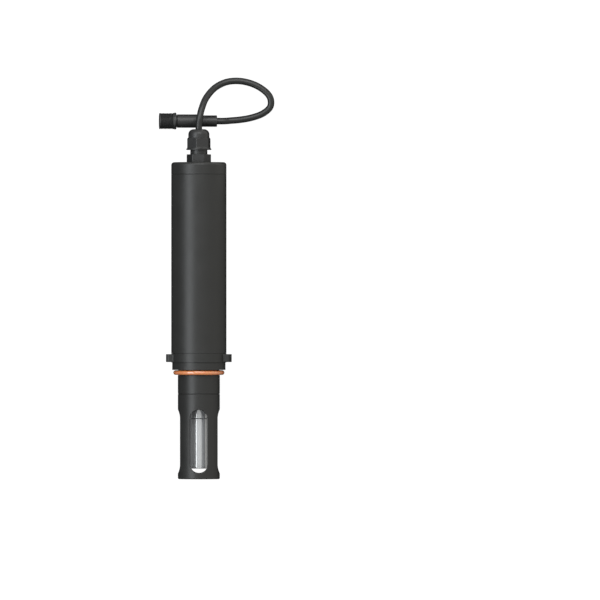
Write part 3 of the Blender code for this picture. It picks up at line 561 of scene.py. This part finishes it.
def makeGuard(s=guardSet):
    radius, angle, height, quarter = slotGrid(s)
    centres = 2 * np.pi / s["slots"] * np.arange(s["slots"])
    patches = [around(probe, radius, angle + centre, height) for centre in centres]
    ring = (centres[:, None] + quarter[:-1]).ravel()
    ring = np.append(ring, ring[0] + 2 * np.pi)
    outer, inner, cut, top = s["radius"], s["bore"], s["tipChamfer"], s["length"]
    tip = eased([(outer, s["gridLow"]), (outer, cut), (outer - cut, 0), (inner + cut, 0), (inner, cut),
                 (inner, s["gridLow"])], s["edge"], closed=False)
    patches.append(around(probe, tip[:, :1], ring, tip[:, 1:]))
    crown = eased([(outer, s["gridHigh"]), (outer, top), (inner, top), (inner, s["threadSpan"][1])],
                  s["edge"], closed=False)
    # Inside the top the thread that holds the guard is cut into the bore
    low, high = s["threadSpan"]
    fine = np.linspace(high, low, int((high - low) / s["pitch"] * rowsPerPitch) + 1)[:, None]
    fade = np.clip((fine - low) / s["pitch"], 0, 1) * np.clip((high - fine) / s["pitch"], 0, 1)
    cutIn = s["threadDepth"] * fade * tooth(fine / s["pitch"] - ring / (2 * np.pi))
    patches.append(around(probe, crown[:, :1], ring, crown[:, 1:]))
    patches.append(around(probe, inner + cutIn, ring, fine))
    foot = np.array([[inner, low], [inner, s["gridHigh"]]])
    patches.append(around(probe, foot[:, :1], ring, foot[:, 1:]))
    makePiece("slottedGuard", patches, "black_plastic", "guard", ["guard"])


# Sensing cap and the stem that it screws on

capSet = {
    "radius": 7.0, "low": 7.6, "high": 43.6, "bore": 5.9, "aperture": 4.0, "endWall": 1.8, "mouth": 6.4,
    "mouthDepth": 2.6, "edge": 0.3, "fineEdge": 0.1,
}


def makeSensingCap(s=capSet):
    outline = [
        (s["aperture"], s["low"]), (s["radius"], s["low"]), (s["radius"], s["high"]), (s["mouth"], s["high"]),
        (s["mouth"], s["high"] - s["mouthDepth"]), (s["bore"], s["high"] - s["mouthDepth"]),
        (s["bore"], s["low"] + s["endWall"]), (s["aperture"], s["low"] + s["endWall"]),
    ]
    ease = np.full(len(outline), s["fineEdge"])
    ease[outline.index((s["radius"], s["low"]))] = s["edge"]
    makePiece("screwCap", [turned(probe, eased(outline, ease), steps=192)], "steel", "sensing_cap",
              ["sensing_cap"])


stemSet = {
    "bore": 4.2, "low": 11.2, "crest": 5.6, "threadSpan": (26.0, 40.6), "pitch": 0.75, "threadDepth": 0.3,
    "sealLow": 41.3, "sealRadius": 5.0, "shoulder": 43.95, "radius": 7.0, "grooveLow": 65.0, "groove": 5.3,
    "grooveHigh": 67.0, "flangeLow": 99.7, "flangeHigh": 102.7, "flange": 10.0, "edge": 0.1,
    "seamEdge": 0.55,
}


def makeProbeStem(s=stemSet):
    outline = [
        (s["bore"], s["low"]), (s["crest"], s["low"]), (s["crest"], s["sealLow"]),
        (s["sealRadius"], s["sealLow"]), (s["sealRadius"], s["shoulder"]), (s["radius"], s["shoulder"]),
        (s["radius"], s["grooveLow"]), (s["groove"], s["grooveLow"]), (s["groove"], s["grooveHigh"]),
        (s["radius"], s["grooveHigh"]), (s["radius"], s["flangeLow"]), (s["flange"], s["flangeLow"]),
        (s["flange"], s["flangeHigh"]), (s["bore"], s["flangeHigh"]),
    ]
    ease = np.full(len(outline), s["edge"])
    ease[outline.index((s["radius"], s["shoulder"]))] = s["seamEdge"]
    patch = threaded(probe, eased(outline, ease), s["crest"], s["threadSpan"], s["pitch"],
                     s["threadDepth"], steps=160)
    makePiece("threadedStem", [patch], "steel", "sensor", ["probe_stem"])


# Seal between cap and stem, squeezed nearly square: the dark line in the seam is its edge

capSealSet = {"middle": 5.7, "height": 43.25, "across": 0.67, "along": 0.65, "squareness": 0.5}


def makeCapSeal(s=capSealSet):
    # A superellipse: cosine and sine of the turn, each raised to a power below 1 with its sign kept
    turn = np.linspace(-np.pi, np.pi, 41)[:-1]
    out, up = (np.sign(wave) * np.abs(wave) ** s["squareness"] for wave in (np.cos(turn), np.sin(turn)))
    outline = np.stack([s["middle"] + s["across"] * out, s["height"] + s["along"] * up], 1)
    makePiece("capSeal", [turned(probe, outline, steps=96)], "black_rubber", "sensor", ["cap_seal"])


# Cable gland: the body that screws into the end cap, and the nut that squeezes its seal on the cable

def hexagon(angle, corners, turn, softness=46):
    # The nearest of six flat sides: one over the power mean of the cosines to each side's middle
    middle = np.radians(turn + 30 + 60 * np.arange(6))[:, None]
    near = np.maximum(np.cos(angle - middle), 0) ** softness
    return corners / 2 * np.cos(np.pi / 6) / near.sum(0) ** (1 / softness)


bodySet = {
    "corners": 17.9, "turn": 27.0, "low": 229.7, "high": 235.3, "chamferRadius": 8.55, "chamferSlope": 1.8,
    "thread": 5.9, "threadLow": 220.8, "neck": 6.2, "fillet": 0.25, "top": 246.0, "bore": 2.6, "seat": 4.2,
    "seatLow": 239.5, "steps": 300,
}


def makeGlandBody(s=bodySet):
    angle = fullTurn(s["steps"])
    sides = hexagon(angle, s["corners"], s["turn"])
    # Both ends of the hexagon are turned down to a cone; these are its rows, in millimetres from each end
    depth = np.array([0, 0.08, 0.2, 0.35, 0.5, 0.7, 1.0])
    cone = [np.minimum(sides, s["chamferRadius"] + s["chamferSlope"] * d) for d in depth]
    rows = [(s["bore"], s["threadLow"]), (s["thread"], s["threadLow"]), (s["thread"], s["low"])]
    rows += [(cone[i], s["low"] + depth[i]) for i in range(len(depth))]
    rows += [(cone[i], s["high"] - depth[i]) for i in reversed(range(len(depth)))]
    rows += [(s["neck"] + s["fillet"], s["high"]), (s["neck"], s["high"] + s["fillet"]), (s["neck"], s["top"]),
             (s["seat"], s["top"]), (s["seat"], s["seatLow"]), (s["bore"], s["seatLow"])]
    makePiece("glandBody", [stacked(probe, rows, angle)], "black_nylon", "sensor", ["gland_body"])


nutSet = {
    "corners": 18.1, "turn": -10.0, "low": 238.5, "skirt": 9.1, "skirtEdge": 0.25, "rim": 0.75,
    "flareTop": 240.9, "high": 247.3, "chamferRadius": 8.05, "chamferSlope": 0.9, "dome": 7.65,
    "domeStep": 0.03, "domeTop": 253.5, "corner": 3.8, "mouth": 2.75, "mouthEdge": 0.45, "seat": 4.2,
    "seatHigh": 251.0, "seatLow": 250.7, "thread": 6.3, "threadTop": 246.3, "steps": 300,
}


def makeGlandNut(s=nutSet):
    angle = fullTurn(s["steps"])
    sides = hexagon(angle, s["corners"], s["turn"])
    quarter = np.linspace(0, 1, 5) * np.pi / 2
    edge = s["skirtEdge"]
    rows = [(s["thread"], s["low"])]
    rows += [(s["skirt"] - edge + edge * np.sin(q), s["low"] + edge - edge * np.cos(q)) for q in quarter]
    # The skirt flares out of the hexagon in a hollow curve, with the square of the way up left
    lift = np.linspace(0, 1, 9)
    flareLow = s["low"] + s["rim"]
    rows += [(sides + (s["skirt"] - sides) * (1 - t) ** 2, flareLow + (s["flareTop"] - flareLow) * t)
             for t in lift]
    # The hexagon's corners are turned down to a steep cone, which leaves an arch on each side; these are the
    # cone's rows, in millimetres down from the hexagon's end
    depth = np.array([3.0, 2.6, 2.3, 2.0, 1.7, 1.4, 1.1, 0.85, 0.6, 0.4, 0.25, 0.12, 0])
    rows += [(np.minimum(sides, s["chamferRadius"] + s["chamferSlope"] * d), s["high"] - d) for d in depth]
    rows += [(s["dome"], s["high"] + s["domeStep"])]
    # The dome is a straight band, then a quarter round up to a flat crown
    quarter = np.linspace(0, 1, 17) * np.pi / 2
    rows += [(s["dome"] - s["corner"] * (1 - np.cos(q)), s["domeTop"] - s["corner"] * (1 - np.sin(q)))
             for q in quarter]
    quarter = np.linspace(0, 1, 6) * np.pi / 2
    lip = s["mouthEdge"]
    rows += [(s["mouth"] + lip * (1 - np.sin(q)), s["domeTop"] - lip * (1 - np.cos(q))) for q in quarter]
    rows += [(s["mouth"], s["seatHigh"]), (s["seat"], s["seatHigh"]), (s["seat"], s["seatLow"]),
             (s["thread"], s["threadTop"])]
    makePiece("glandNut", [stacked(probe, rows, angle)], "black_nylon", "sensor", ["gland_nut"])


# Cable: a tube along a smooth route, level out of the gland, over the plug, and round in a loop to its rear

cableSet = {"radius": 2.4, "length": 0.135, "around": 40, "steps": 260, "endEdge": 0.3}

# The part's own cable's points in metres, moved by up to 1.4 mm to give the loop its true outline
cableRoute = [
    (0.00000, 0.12425, 0.01996), (0.00000, 0.13000, 0.01996), (0.00060, 0.13520, 0.01970),
    (0.00214, 0.14196, 0.01751), (0.00524, 0.14950, 0.01292), (0.01123, 0.15666, 0.00710),
    (0.01910, 0.16095, 0.00358), (0.02799, 0.16202, 0.00259), (0.03716, 0.16040, 0.00250),
    (0.04545, 0.15641, 0.00250), (0.05134, 0.15049, 0.00250), (0.05178, 0.14347, 0.00250),
    (0.04642, 0.13842, 0.00250), (0.03828, 0.13538, 0.00250), (0.02991, 0.13385, 0.00250),
    (0.02259, 0.13320, 0.00250), (0.01776, 0.13285, 0.00381), (0.01197, 0.13285, 0.00419),
]


def smoothRoute(points, count):
    # Catmull-Rom through the points: on each span a cubic of the two points and their neighbours; then the
    # places at even steps of distance along it
    path = np.array(points, float)
    path = np.vstack([2 * path[0] - path[1], path, 2 * path[-1] - path[-2]])
    before, start, stop, after = (path[i:len(path) - 3 + i][:, None] for i in range(4))
    t = np.linspace(0, 1, 20, endpoint=False)[None, :, None]
    dense = 0.5 * (2 * start + (stop - before) * t + (2 * before - 5 * start + 4 * stop - after) * t ** 2
                   + (3 * start - before - 3 * stop + after) * t ** 3)
    dense = np.vstack([dense.reshape(-1, 3), path[-2]])
    travelled = np.concatenate([[0], np.cumsum(np.linalg.norm(np.diff(dense, axis=0), axis=1))])
    even = np.linspace(0, travelled[-1], count)
    return np.stack([np.interp(even, travelled, dense[:, i]) for i in range(3)], 1), travelled[-1]


def makeCable(s=cableSet):
    # A circle carried along the route, square to it, with its sideways direction kept level
    path, length = smoothRoute(cableRoute, s["steps"])
    ahead = np.gradient(path, axis=0)
    ahead /= np.linalg.norm(ahead, axis=1, keepdims=True)
    sideways = np.cross(ahead, [0, 0, 1.0])
    sideways /= np.linalg.norm(sideways, axis=1, keepdims=True)
    upwards = np.cross(sideways, ahead)
    turn = fullTurn(s["around"])
    # Both ends are rounded over a little and closed at the centreline
    quarter = np.linspace(0, 1, 5) * np.pi / 2
    inset = np.concatenate([[s["radius"]], s["endEdge"] * (1 - np.sin(quarter))])
    slide = np.concatenate([[0], s["endEdge"] * (1 - np.cos(quarter))])
    last = len(path) - 1
    row = np.concatenate([np.zeros(len(inset), int), np.arange(1, last), np.full(len(inset), last)])
    size = np.full(len(row), s["radius"])
    size[:len(inset)] -= inset
    size[-len(inset):] -= inset[::-1]
    shift = np.zeros(len(row))
    shift[:len(slide)] = slide
    shift[-len(slide):] = -slide[::-1]
    centre = path[row] + ahead[row] * shift[:, None] * mm
    ring = np.cos(turn)[:, None] * upwards[row][:, None] + np.sin(turn)[:, None] * sideways[row][:, None]
    points = centre[:, None] + ring * size[:, None, None] * mm
    run = length * row / last
    spread = np.stack(np.broadcast_arrays(turn * s["radius"] * mm, run[:, None]), -1)
    piece = makePiece("cableTube", [points], "cable_jacket", "sensor", ["cable"], spread=spread)
    print("cable length", round(length, 4))
    return piece, path


# Plug: a stepped barrel, a free coupling nut with an outside thread, and four pins in an insert

plugSet = {
    "rear": 4.15, "rearLength": 13.0, "front": 4.85, "shoulder": 1.0, "frontLength": 16.0, "nose": 4.3,
    "noseEnd": 18.7, "pocket": 3.3, "pocketEnd": 13.0, "clipGroove": 3.9, "clipFront": 17.2, "clipRear": 18.2,
    "inlet": 2.55, "inletEnd": 11.6, "edge": 0.3, "shoulderEdge": 0.5, "fineEdge": 0.08, "axis": 0.001,
}


def makePlugBody(s=plugSet):
    # The outline starts and ends so near the axis that its points there merge into one
    outline = [
        (s["axis"], -s["pocketEnd"]), (s["pocket"], -s["pocketEnd"]), (s["pocket"], -s["noseEnd"]),
        (s["nose"], -s["noseEnd"]), (s["nose"], -s["clipRear"]), (s["clipGroove"], -s["clipRear"]),
        (s["clipGroove"], -s["clipFront"]), (s["nose"], -s["clipFront"]), (s["nose"], -s["frontLength"]),
        (s["front"], -s["frontLength"]), (s["front"], -s["shoulder"]), (s["rear"], 0.0),
        (s["rear"], s["rearLength"]), (s["inlet"], s["rearLength"]), (s["inlet"], s["inletEnd"]),
        (s["axis"], s["inletEnd"]),
    ]
    ease = np.full(len(outline), s["fineEdge"])
    ease[[0, -1]] = 0.0
    ease[[9, 12, 13]] = s["edge"]  # the front's end, and the rear's outer and inner corner
    ease[[10, 11]] = s["shoulderEdge"]
    return makePiece("plugBarrel", [turned(plug, eased(outline, ease), steps=160)], "black_nylon", "sensor",
                     ["plug_body"])


nutRingSet = {
    "crest": 5.9, "threadEnd": 28.9, "threadSpan": (-28.7, -18.3), "pitch": 1.0, "threadDepth": 0.5,
    "rim": 6.1, "rimFront": 17.8, "rimRear": 16.8, "threadStart": 18.05, "rear": 5.2, "rearEnd": 16.4,
    "bore": 5.05, "step": 17.1, "rearBore": 4.6, "chamfer": 0.3, "edge": 0.1,
}


def makeCouplingNut(s=nutRingSet):
    outline = [
        (s["rearBore"], -s["step"]), (s["bore"], -s["step"]), (s["bore"], -s["threadEnd"]),
        (s["crest"] - s["chamfer"], -s["threadEnd"]), (s["crest"], -s["threadEnd"] + s["chamfer"]),
        (s["crest"], -s["threadStart"]), (s["rim"], -s["rimFront"]), (s["rim"], -s["rimRear"]),
        (s["rear"], -s["rearEnd"]), (s["rearBore"], -s["rearEnd"]),
    ]
    patch = threaded(plug, eased(outline, s["edge"]), s["crest"], s["threadSpan"], s["pitch"],
                     s["threadDepth"], steps=128)
    return makePiece("couplingNut", [patch], "black_nylon", "coupling_nut", ["coupling_nut"])


pinSet = {"radius": 0.5, "front": 28.2, "rear": 13.6, "count": 4}


def makePins(s=pinSet):
    # A rod with a round nose, spun about its own line, which lies off the plug's axis
    quarter = np.linspace(0, 1, 9) * np.pi / 2
    nose = np.stack([s["radius"] * np.sin(quarter), -s["front"] + s["radius"] * (1 - np.cos(quarter))], 1)
    outline = np.vstack([(0.0, -s["rear"]), nose, (s["radius"], -s["rear"])])
    pins = []
    for index in range(s["count"]):
        node = f"contact_pin_{index + 1}"
        low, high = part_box(node)
        middle = np.array((low + high) / 2) / mm
        off = middle - plug["origin"]
        off = off - plug["axis"] * (off @ plug["axis"])
        pinAxes = {**plug, "origin": plug["origin"] + off}
        pins.append(makePiece(f"contactPin{index + 1}", [turned(pinAxes, outline, steps=32)], "gold_plate",
                              "sensor", [node]))
    return pins


makeHousing()
makeEndCap()
makeBayonetRing()
makeProbeHolder()
makeFaceSeal()
makeGuard()
makeSensingCap()
makeProbeStem()
makeCapSeal()
makeGlandBody()
makeGlandNut()
plugPieces = [makePlugBody(), makeCouplingNut(), *makePins(), "plug_insert", "nut_clip"]
cable, cablePath = makeCable()


# Floor and light: a white table, a bright strip along the left, a panel above the back, and grey walls that are
# cool and dark on the left, warm and light on the right

# To the sensor the table is a glow of painted shade and light: near is its painted shadow's darkest level
floorSet = {
    "half": 3.0, "height": -0.0001, "paint": "f4f4f4", "glow": 1.08, "trace": 0.10, "near": 0.02, "left": 0.16,
    "right": 0.46, "back": 1.1, "leftTint": (0.96, 1.0, 1.02, 1.0), "rightTint": (1.01, 1.0, 0.95, 1.0),
    "paintedShadowStart": 0.006, "paintedShadowEnd": 0.060, "farthest": 1.0, "sideReach": 0.1, "backStart": 0.08,
    "backEnd": 0.18,
}

# Where a painted shadow darkens the table's glow, in metres: the middle of a line, its half lengths and its
# radius.
# The cable's loop is a ring instead, squashed to a circle. A thin thing's painted shadow fades faster.
paintedShadowSet = [
    {"middle": (0.0, -0.012, 0.0), "squash": (1.0, 1.0, 0.0), "half": (0.0, 0.115, 0.0), "radius": 0.020,
     "ring": False, "fade": 1.0},
    {"middle": (0.0, 0.133, 0.0), "squash": (1.0, 1.0, 0.0), "half": (0.028, 0.0, 0.0), "radius": 0.006,
     "ring": False, "fade": 2.5},
    {"middle": (0.028, 0.1475, 0.0), "squash": (0.63, 1.0, 0.0), "half": (0.0, 0.0, 0.0), "radius": 0.0145,
     "ring": True, "fade": 1.6},
]


def makeFloor(s=floorSet):
    half = s["half"]
    mesh = bpy.data.meshes.new("floor")
    mesh.from_pydata([(-half, -half, s["height"]), (half, -half, s["height"]), (half, half, s["height"]),
                      (-half, half, s["height"])], [], [(0, 1, 2, 3)])
    floor = bpy.data.objects.new("floor", mesh)
    bpy.context.scene.collection.objects.link(floor)
    material = bpy.data.materials.new("paleTable")
    material.use_nodes = True
    tree = material.node_tree
    tree.nodes.clear()
    # The camera sees it lit through from below, with a trace of the shadows. The sensor sees instead a glow of
    # painted
    # shade and light: a grey table with a painted shadow, by the distance to the nearest of body, plug and
    # cable.
    place = addNode(tree, "TexCoord").outputs["Object"]
    away = s["farthest"]
    # How far each point is from the nearest thing, which sets the painted shadow
    for thing in paintedShadowSet:
        off = addNode(tree, "VectorMath", {0: place, 1: thing["middle"]}, operation="SUBTRACT").outputs[0]
        off = addNode(tree, "VectorMath", {0: off, 1: thing["squash"]}, operation="MULTIPLY").outputs[0]
        off = addNode(tree, "VectorMath", {0: off}, operation="ABSOLUTE").outputs[0]
        off = addNode(tree, "VectorMath", {0: off, 1: thing["half"]}, operation="SUBTRACT").outputs[0]
        off = addNode(tree, "VectorMath", {0: off, 1: (0, 0, 0)}, operation="MAXIMUM").outputs[0]
        gap = addNode(tree, "VectorMath", {0: off}, operation="LENGTH").outputs["Value"]
        gap = addNode(tree, "Math", {0: gap, 1: thing["radius"]}, operation="SUBTRACT").outputs[0]
        if thing["ring"]:
            gap = addNode(tree, "Math", {0: gap}, operation="ABSOLUTE").outputs[0]
        gap = addNode(tree, "Math", {0: gap, 1: thing["fade"]}, operation="MULTIPLY").outputs[0]
        away = addNode(tree, "Math", {0: gap, 1: away}, operation="MINIMUM").outputs[0]
    # Away from them it is painted light: darker on the left than on the right, and lighter behind the sensor
    split = addNode(tree, "SeparateXYZ", {"Vector": place})
    across = {"Value": split.outputs["X"], 1: -s["sideReach"], 2: s["sideReach"]}
    side = addNode(tree, "MapRange", across).outputs[0]
    rise = s["right"] - s["left"]
    gain = addNode(tree, "MapRange", {"Value": split.outputs["Y"], 1: s["backStart"], 2: s["backEnd"],
                                      3: rise, 4: rise + s["back"]}).outputs[0]
    # The table's painted light away from the sensor: left, right and back set its level
    level = addNode(tree, "Math", {0: side, 1: gain, 2: s["left"]}, operation="MULTIPLY_ADD").outputs[0]
    # Painted shadow: the glow falls from its painted light to near as a thing comes closer
    paintedShadow = {"Value": away, 1: s["paintedShadowStart"], 2: s["paintedShadowEnd"], 3: s["near"], 4: level}
    tone = addNode(tree, "MapRange", paintedShadow, interpolation_type="SMOOTHSTEP").outputs[0]
    tint = addNode(tree, "Mix", {0: side, 6: s["leftTint"], 7: s["rightTint"]}, data_type="RGBA").outputs[2]
    # A glow that stands in for the table's shade and light, seen by every ray but the camera's
    paintedShadeAndLight = addNode(tree, "Emission", {"Color": tint, "Strength": tone}).outputs[0]
    paint = addNode(tree, "BsdfDiffuse", {"Color": linear(s["paint"])}).outputs[0]
    glow = addNode(tree, "Emission", {"Strength": s["glow"]}).outputs[0]
    bright = addNode(tree, "MixShader", {0: 1 - s["trace"], 1: paint, 2: glow}).outputs[0]
    path = addNode(tree, "LightPath").outputs["Is Camera Ray"]
    whole = addNode(tree, "MixShader", {0: path, 1: paintedShadeAndLight, 2: bright}).outputs[0]
    addNode(tree, "OutputMaterial", {"Surface": whole})
    mesh.materials.append(material)


makeFloor()


panelSet = {
    "leftStrip": {"leanRight": -39.5, "leanBack": 0.0, "distance": 1.6, "width": 0.80, "length": 2.6,
                  "radiance": 2.9, "tint": (0.96, 1.0, 1.03)},
    "backPanel": {"leanRight": 5.0, "leanBack": 38.0, "distance": 1.4, "width": 0.95, "length": 0.86,
                  "radiance": 2.6, "tint": (1.0, 1.0, 1.0)},
}


def addPanel(name, s):
    # A soft box that faces the origin from straight above, leant by so many degrees towards +X, then +Y; its
    # width runs across the probe and its length along it, and its power gives the radiance asked for
    right, back = np.radians(s["leanRight"]), np.radians(s["leanBack"])
    away = np.array([np.sin(right) * np.cos(back), np.sin(back), np.cos(right) * np.cos(back)])
    across = np.cross([0.0, 1.0, 0.0], away)
    across /= np.linalg.norm(across)
    along = np.cross(away, across)
    area = bpy.data.lights.new(name, "AREA")
    area.shape = "RECTANGLE"
    area.size, area.size_y = s["width"], s["length"]
    area.energy = s["radiance"] * np.pi * s["width"] * s["length"]
    area.color = s["tint"]
    panel = bpy.data.objects.new(name, area)
    panel.location = away * s["distance"]
    panel.rotation_euler = Matrix(np.stack([across, along, away], 1).tolist()).to_euler()
    panel.visible_camera = False
    bpy.context.scene.collection.objects.link(panel)


for name, panel in panelSet.items():
    addPanel(name, panel)


worldSet = {
    "zenith": 0.75, "left": 0.22, "right": 0.76, "back": 0.5, "leftTint": (0.96, 1.0, 1.02, 1.0),
    "rightTint": (1.01, 1.0, 0.95, 1.0),
}


def makeWorld(s=worldSet):
    # Seen by anything but the camera it is zenith straight up, and a wall at the horizon that goes from left to
    # right, all lighter towards the back
    world = bpy.data.worlds.new("studio")
    world.use_nodes = True
    tree = world.node_tree
    tree.nodes.clear()
    sky = addNode(tree, "TexCoord").outputs["Generated"]
    toward = addNode(tree, "SeparateXYZ", {"Vector": sky})
    side = addNode(tree, "MapRange", {"Value": toward.outputs["X"], 1: -1.0, 2: 1.0}).outputs[0]
    wall = addNode(tree, "Mix", {0: side, 2: s["left"], 3: s["right"]}, data_type="FLOAT").outputs[0]
    height, depth = toward.outputs["Z"], toward.outputs["Y"]
    level = addNode(tree, "Mix", {0: height, 2: wall, 3: s["zenith"]}, data_type="FLOAT").outputs[0]
    gain = addNode(tree, "Math", {0: depth, 1: s["back"], 2: 1.0}, operation="MULTIPLY_ADD").outputs[0]
    strength = addNode(tree, "Math", {0: level, 1: gain}, operation="MULTIPLY").outputs[0]
    tint = addNode(tree, "Mix", {0: side, 6: s["leftTint"], 7: s["rightTint"]}, data_type="RGBA").outputs[2]
    walls = addNode(tree, "Background", {"Color": tint, "Strength": strength}).outputs[0]
    white = addNode(tree, "Background", {"Color": (1, 1, 1, 1), "Strength": 1.0}).outputs[0]
    path = addNode(tree, "LightPath").outputs["Is Camera Ray"]
    whole = addNode(tree, "MixShader", {0: path, 1: walls, 2: white}).outputs[0]
    addNode(tree, "OutputWorld", {"Surface": whole})
    bpy.context.scene.world = world


makeWorld()
print("floor and light set")
